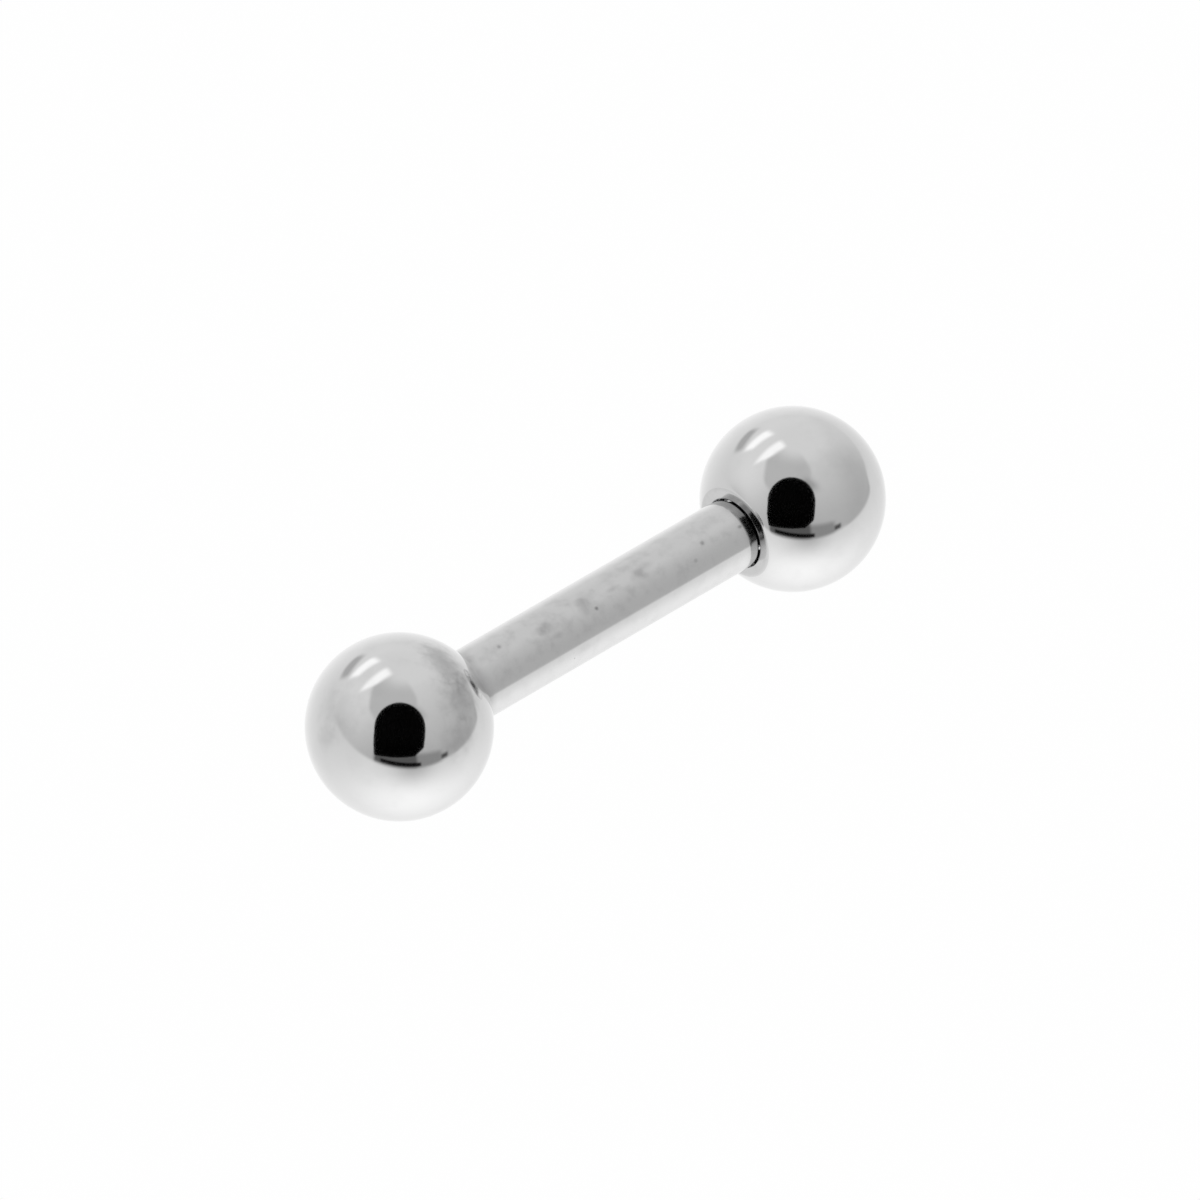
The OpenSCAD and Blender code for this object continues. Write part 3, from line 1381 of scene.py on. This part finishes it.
class Studio:
    """The light tent that the steel mirrors, the floor and the dark front of the camera."""

    # The walls' light at level, and how it changes to the right, to the front and upwards
    WALL_LIGHT = 0.71
    WALL_SLOPE = (-0.02, -0.15, 0.14)
    # The table's light where no glow reaches it
    TABLE_LIGHT = 0.80
    # The table's edge as the object sees it: it lies lower in front and to the right
    EDGE_TILT = (0.15, 0.23, 1.0)
    EDGE_LEVEL = 0.01
    EDGE_SOFT = 0.055

    WALL_GLOWS = (
        Glow(105, 9, 5, -0.18), Glow(-80, 32, 8, 0.13), Glow(-82, 9, 40, -0.09))
    TABLE_GLOWS = (
        Glow(13, -62, 2.6, 0.50), Glow(95, -48, 6, 0.08), Glow(-166, -18, 4, 0.21), Glow(17, -12, 12, -0.42),
        Glow(60, -20, 12, -0.07))
    WALL_PATCHES = (
        # What is held over the lens, the pale roof that it fades into, and the soft shade round the lens
        Patch(((-88, 47), (-57, 46), (-36, 22), (38, 25), (55, 63), (125, 62), (-110, 54)), 3.0, 0.63),
        Patch(((-100, 77), (85, 76), (125, 45), (180, 30), (-148, 50)), 13.0, 0.87),
        Patch(((4, 44), (8, 58), (24, 62), (43, 58), (45, 42)), 7.0, 0.38, 0.85),
        # The two lamps at the back, and the dark gap under them
        Patch(((-155.5, 47), (-155.5, 35.5), (-124.5, 30.5), (-124.5, 41)), 3.5, 1.36),
        Patch(((-156, 72), (-156, 60.5), (-97, 46.5), (-96.5, 57), (-104, 66.5)), 3.5, 1.32),
        Patch(((-154, 24), (-152, 13), (-140, 13), (-127.5, 18), (-127, 27), (-143, 28)), 4.0, 0.53),
        # The front edge of the table, with a dark slot and a dark dot in it
        Patch(((18, 4), (50, -1), (50, -25), (18, -25)), 4.0, 0.30, 0.9),
        Patch(((-29, 8), (20, 8), (22, -25), (-28, -25)), 2.5, 0.12),
        Patch(((-21, -1.5), (-21, -6), (25, -13), (25, -8)), 1.5, 0.0),
        Patch(((49, -6.5), (49, -11.8), (57.5, -11.8), (57.5, -6.3)), 2.2, 0.08),
    )
    # The table's edge comes lower on the right than a straight one would
    TABLE_PATCHES = (Patch(((60, 6), (122, 6), (112, -9), (64, -12.5)), 2.5, 0.55),)

    # The dark front of the camera that the balls mirror, in millimetres from the line of sight
    LENS_DISTANCE = 78.0
    LENS_MIDDLE = (-0.8, -5.0)
    LENS_HALF_WIDTH = 45.4
    LENS_RISE = 46.5
    LENS_DROP = 54.0
    LENS_SPREAD = 1.10
    LENS_LEAN = -4.0
    LENS_CORNER = 17.0
    # The corner that is rounded lies less than this above the arch's foot
    LENS_FOOT = 5.0

    # The floor's radius, in metres, and the light that it gives off
    FLOOR_RADIUS = 0.25
    FLOOR_LIGHT = 0.995

    def __init__(self, camera: PhotoCamera) -> None:
        """Takes the camera, from which the tent's directions are measured."""
        self.camera = camera

    def build(self) -> None:
        """Builds the tent, the floor and the lens, and sets how the picture is developed."""
        self._tent()
        self._floor()
        self._lens()
        bpy.context.scene.view_settings.view_transform = "Standard"
        bpy.context.scene.view_settings.look = "None"

    @staticmethod
    def _glow_group() -> bpy.types.NodeTree:
        """Builds a broad glow.

        Returns:
            The group, which puts out a light.
        """
        net, given, light = Net.group("Glow", "Light", Direction=UP, Middle=UP, Focus=4.0, Gain=0.1)
        cosine = net.vector("DOT_PRODUCT", given["Direction"], given["Middle"])
        fall = net.math("EXPONENT", net.math("MULTIPLY", net.math("SUBTRACT", cosine, 1.0), given["Focus"]))
        net.feed(light, net.math("MULTIPLY", fall, given["Gain"]))
        return net.tree

    @staticmethod
    def _edge_group() -> bpy.types.NodeTree:
        """Builds what keeps a patch to the inner side of one of its edges.

        Returns:
            The group, which puts out a mask.
        """
        net, given, mask = Net.group(
            "Patch edge", "Mask", Direction=UP, Inwards=UP, Soft=0.05, Mask=1.0)
        side = net.vector("DOT_PRODUCT", given["Direction"], given["Inwards"])
        inside = net.ramp(side, net.math("MULTIPLY", given["Soft"], -1.0), given["Soft"])
        net.feed(mask, net.math("MULTIPLY", inside, given["Mask"]))
        return net.tree

    def _tent(self) -> None:
        """Builds the world: the tent for reflections, and plain white for the camera."""
        world = bpy.data.worlds.new("light_tent")
        bpy.context.scene.world = world
        net = Net.shader(world)
        direction = net.vector("NORMALIZE", net.add("ShaderNodeTexCoord").outputs["Generated"])
        glow = self._glow_group()
        edge = self._edge_group()
        walls = net.math("ADD", self._slope(net, direction, self.WALL_SLOPE), self.WALL_LIGHT)
        lights = []
        for light, glows, patches in (
            (walls, self.WALL_GLOWS, self.WALL_PATCHES),
            (self.TABLE_LIGHT, self.TABLE_GLOWS, self.TABLE_PATCHES),
        ):
            for spot in glows:
                light = net.math("ADD", light, self._glow(net, glow, direction, spot))
            for patch in patches:
                light = self._patch(net, edge, direction, patch, light)
            lights.append(light)
        walls, table = lights
        height = net.math("SUBTRACT", self._slope(net, direction, self.EDGE_TILT), self.EDGE_LEVEL)
        above = net.ramp(height, -self.EDGE_SOFT, self.EDGE_SOFT)
        tent, plain = (
            net.feed_by_name(net.add("ShaderNodeBackground"), {"Color": colour})[0]
            for colour in (self._blend(net, table, walls, above), (1, 1, 1, 1)))
        seen = net.add("ShaderNodeLightPath").outputs["Is Camera Ray"]
        net.put_out("World", net.either(seen, tent, plain))

    @staticmethod
    def _blend(net: Net, low: Any, high: Any, share: Socket) -> Socket:
        """Returns a mix of two lights."""
        return net.plus(low, net.math("SUBTRACT", high, low), share)

    def _slope(self, net: Net, direction: Socket, slope: tuple[float, float, float]) -> Socket:
        """Returns how far a direction goes along a slope given to the right, to the front and up."""
        along = self.camera.right * slope[0] + self.camera.front * slope[1] + Vector((0, 0, slope[2]))
        return net.vector("DOT_PRODUCT", direction, tuple(along))

    def _glow(self, net: Net, group: bpy.types.NodeTree, direction: Socket, spot: Glow) -> Socket:
        """Places one glow and returns its light."""
        middle = tuple(self.camera.direction(spot.across, spot.up))
        return net.use(group, Direction=direction, Middle=middle, Focus=spot.focus, Gain=spot.gain)

    def _patch(self, net: Net, group: bpy.types.NodeTree, direction: Socket, patch: Patch,
               behind: Socket) -> Socket:
        """Places one patch over the light behind it.

        Args:
            net: The world's net.
            group: The group that keeps it inside one edge.
            direction: The direction from the object.
            patch: The patch.
            behind: The light behind it.

        Returns:
            The light with the patch in it.
        """
        mask = patch.cover
        for inwards in patch.edges(self.camera):
            mask = net.use(group, Direction=direction, Inwards=tuple(inwards),
                           Soft=math.radians(patch.soft), Mask=mask)
        return self._blend(net, behind, patch.light, mask)

    def _floor(self) -> None:
        """Lays the pale floor under the balls. The steel mirrors the tent's table in its place."""
        Workpiece.clear_bench()
        bpy.ops.mesh.primitive_circle_add(
            vertices=ROUND_SIDES, radius=self.FLOOR_RADIUS, fill_type="NGON")
        floor = bpy.context.object
        floor.name = "floor"
        floor.data.transform(Matrix.Translation((0, 0, cad_bounds[0][2])))
        material = bpy.data.materials.new("pale_floor")
        net = Net.shader(material)
        lit = net.feed_by_name(net.add("ShaderNodeEmission"), {"Strength": self.FLOOR_LIGHT})[0]
        clear = net.add("ShaderNodeBsdfTransparent").outputs[0]
        # From below the floor is clear, so that the underside shows in a view from there
        below = net.add("ShaderNodeNewGeometry").outputs["Backfacing"]
        net.put_out("Material", net.either(below, lit, clear))
        floor.data.materials.append(material)
        floor.visible_glossy = False
        floor.visible_diffuse = False
        floor.visible_shadow = False

    def _lens(self) -> None:
        """Hangs a black arch before the camera, which only reflections show."""
        Workpiece.clear_bench()
        bpy.ops.mesh.primitive_circle_add(vertices=ROUND_SIDES, radius=1.0, fill_type="NGON")
        card = Workpiece("lens_card")
        bpy.ops.transform.resize(value=(self.LENS_HALF_WIDTH, self.LENS_RISE, 1), center_override=(0, 0, 0))
        bpy.ops.mesh.bisect(plane_co=(0, 0, 0), plane_no=(0, 1, 0), clear_inner=True, threshold=NEAR)
        card.pick(Pick.EDGES, lambda middle, _: abs(middle.y) < NEAR)
        bpy.ops.mesh.extrude_region_move(
            TRANSFORM_OT_translate={"value": (self.LENS_LEAN, -self.LENS_DROP, 0)})
        bpy.ops.transform.resize(value=(self.LENS_SPREAD, 1, 1), center_override=(self.LENS_LEAN, 0, 0))
        right_side = self.LENS_HALF_WIDTH / 2
        near_foot = self.LENS_FOOT - self.LENS_DROP
        card.pick(Pick.CORNERS, lambda place, _: place.x > right_side and place.y < near_foot)
        bpy.ops.mesh.bevel(offset=self.LENS_CORNER, affect="VERTICES")
        card.close()
        card.item.data.materials.append(self._black())
        right, picture_up, towards = self.camera.right, self.camera.picture_up, self.camera.towards
        turned = Matrix((right, picture_up, towards)).transposed()
        middle = (right * self.LENS_MIDDLE[0] + picture_up * self.LENS_MIDDLE[1]
                  + towards * self.LENS_DISTANCE)
        place = Matrix.Translation(middle * MM) @ turned.to_4x4() @ Matrix.Scale(MM, 4)
        card.item.data.transform(place)
        card.item.visible_camera = False
        card.item.visible_diffuse = False
        card.item.visible_shadow = False

    @staticmethod
    def _black() -> bpy.types.Material:
        """Makes a dead black.

        Returns:
            The material.
        """
        material = bpy.data.materials.new("lens_black")
        net = Net.shader(material)
        dead = net.feed_by_name(net.add("ShaderNodeBsdfDiffuse"), {"Color": (0, 0, 0, 1)})[0]
        net.put_out("Material", dead)
        return material


BALL_POLISH = SteelFinish(
    name="ball_mirror_polish", grey=(0.70, 0.70, 0.70), roughness=0.07, film=0.05, film_blot=0.4,
    film_cover=0.55, handled=0.0, handled_side=UP, seat_painted_shade=0.0, seam_painted_shade=0.0,
    speck=0.25, lines=0.1, waves=0.6,
    smudges=(
        # The side of the left ball beside the bar, from the top down
        Smudge(on_ball(End.LEFT, 70, 20), 0.32, 0.50, 0.34),
        Smudge(on_ball(End.LEFT, 75, 45), 0.38, 0.35, 0.26),
        Smudge(on_ball(End.LEFT, 90, 68), 0.35, 0.30, 0.20),
        # Its far side
        Smudge(on_ball(End.LEFT, 140, -5), 0.30, 0.45, 0.12),
        Smudge(on_ball(End.LEFT, 160, -20), 0.15, 0.25, 0.10),
        # A faint one over the camera's reflection in the right ball
        Smudge(on_ball(End.RIGHT, 95, 35), 0.40, 0.30, 0.07),
    ))
BAR_POLISH = SteelFinish(
    name="bar_drawn_polish", grey=(0.70, 0.70, 0.70), roughness=0.12, film=0.05, film_blot=0.22,
    # The two values by the seats below are painted shade, beside the balls and in the seam
    film_cover=0.6, handled=0.17, handled_side=on_bar(0.0, 21, radius=1.0), seat_painted_shade=0.26,
    seam_painted_shade=0.6, speck=0.3, lines=0.35, waves=0.5,
    smudges=(
        Smudge(on_bar(-1.30, 23), 0.24, 0.12, 0.26),
        Smudge(on_bar(-1.45, 21), 0.14, 0.10, 0.12),
        Smudge(on_bar(-1.25, 43), 0.10, 0.06, 0.16),
        Smudge(on_bar(-0.53, 26), 0.12, 0.14, 0.20),
        Smudge(on_bar(-0.54, 15), 0.12, 0.08, 0.14),
        Smudge(on_bar(0.09, 23), 0.13, 0.05, 0.20),
        Smudge(on_bar(0.68, 21), 0.18, 0.11, 0.30),
        Smudge(on_bar(0.88, 17), 0.12, 0.08, 0.12),
        Smudge(on_bar(-0.84, 85), 0.14, 0.08, 0.10),
        Smudge(on_bar(-0.36, 37), 0.035, 0.035, 0.5),
        Smudge(on_bar(-2.25, 12), 0.040, 0.040, 0.3),
        Smudge(on_bar(1.99, 32), 0.040, 0.040, 0.35),
        Smudge(on_bar(1.71, 50), 0.040, 0.030, 0.2),
        Smudge(on_bar(2.76, 39), 0.045, 0.030, 0.4),
    ))
TURNED_STEEL = TurnedFinish(
    name="turned_steel", grey=(0.62, 0.62, 0.62), roughness=0.10, ring_depth=0.05, ring_spacing=0.02)


def report(item: bpy.types.Object) -> None:
    """Logs a finished piece's name, faces and size."""
    size = ", ".join(f"{length / MM:.2f}" for length in item.dimensions)
    LOG.info("%s: %d faces, %s mm", item.name, len(item.data.polygons), size)


def main() -> None:
    """Builds the camera, the studio and the pieces."""
    logging.basicConfig(level=logging.INFO, format="%(name)s: %(message)s")
    camera = PhotoCamera()
    camera.build()
    Studio(camera).build()
    effects = SteelEffects()
    finishes = Finishes(
        ball=BALL_POLISH.build(effects), bar=BAR_POLISH.build(effects), turned=TURNED_STEEL.build(effects))
    for part in (StuddedBar.from_frame(), ThreadedBall(End.LEFT), ThreadedBall(End.RIGHT)):
        item = part.build()
        part.dress(item, finishes)
        part.set_in_frame(item)
        report(item)


if __name__ == "__main__":
    main()
